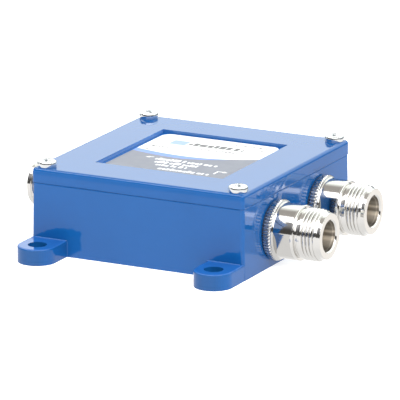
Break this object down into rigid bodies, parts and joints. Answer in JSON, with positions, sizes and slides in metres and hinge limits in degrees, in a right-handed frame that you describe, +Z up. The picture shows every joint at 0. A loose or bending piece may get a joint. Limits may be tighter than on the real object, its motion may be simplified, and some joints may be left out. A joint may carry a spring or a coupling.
{
  "type": "rf power tapper",
  "caption": "Flat cast metal case with bolt-down ears, a screwed lid and threaded coaxial sockets on opposite sides; it takes a small share of a radio signal's power off to a tap port.",
  "frame": {"origin": "centre of the footprint, on the plane that the case is bolted to", "axes": "+Z up through the lid; +X towards the side with the output and tap sockets; Y runs from ear to ear, with the tap socket on the -Y half"},
  "size_m": [0.1084, 0.1008, 0.0285],
  "materials": {
    "blue_paint": "glossy sky-blue enamel, smooth and mirror-like",
    "zinc_plate": "bright zinc plate",
    "nickel_plate": "bright nickel plate, turned",
    "contact_brass": "gilt brass",
    "copper_foil": "bare copper foil",
    "white_ptfe": "waxy white",
    "laminate": "green circuit laminate",
    "chip_ceramic": "black glaze with tinned ends",
    "label_film": "satin film with a printed grey field",
    "gasket_rubber": "matt black",
    "seal_rubber": "matt black",
    "solder": "bright solder"
  },
  "bodies": {
    "root": {"housing": "blue_paint", "lid": "blue_paint", "lid_gasket": "gasket_rubber", "label": "label_film", "lid_screws": "zinc_plate", "circuit_board": "laminate", "ground_plane": "copper_foil", "main_line": "copper_foil", "tap_line": "copper_foil", "tap_resistor": "chip_ceramic", "ground_pad": "copper_foil", "balance_resistor": "chip_ceramic", "board_screws": "zinc_plate", "solder_joints": "solder", "input_socket": "nickel_plate", "input_insulator": "white_ptfe", "input_contact": "contact_brass", "input_seal": "seal_rubber", "output_socket": "nickel_plate", "output_insulator": "white_ptfe", "output_contact": "contact_brass", "output_seal": "seal_rubber", "tap_socket": "nickel_plate", "tap_insulator": "white_ptfe", "tap_contact": "contact_brass", "tap_seal": "seal_rubber"}
  },
  "joints": []
}
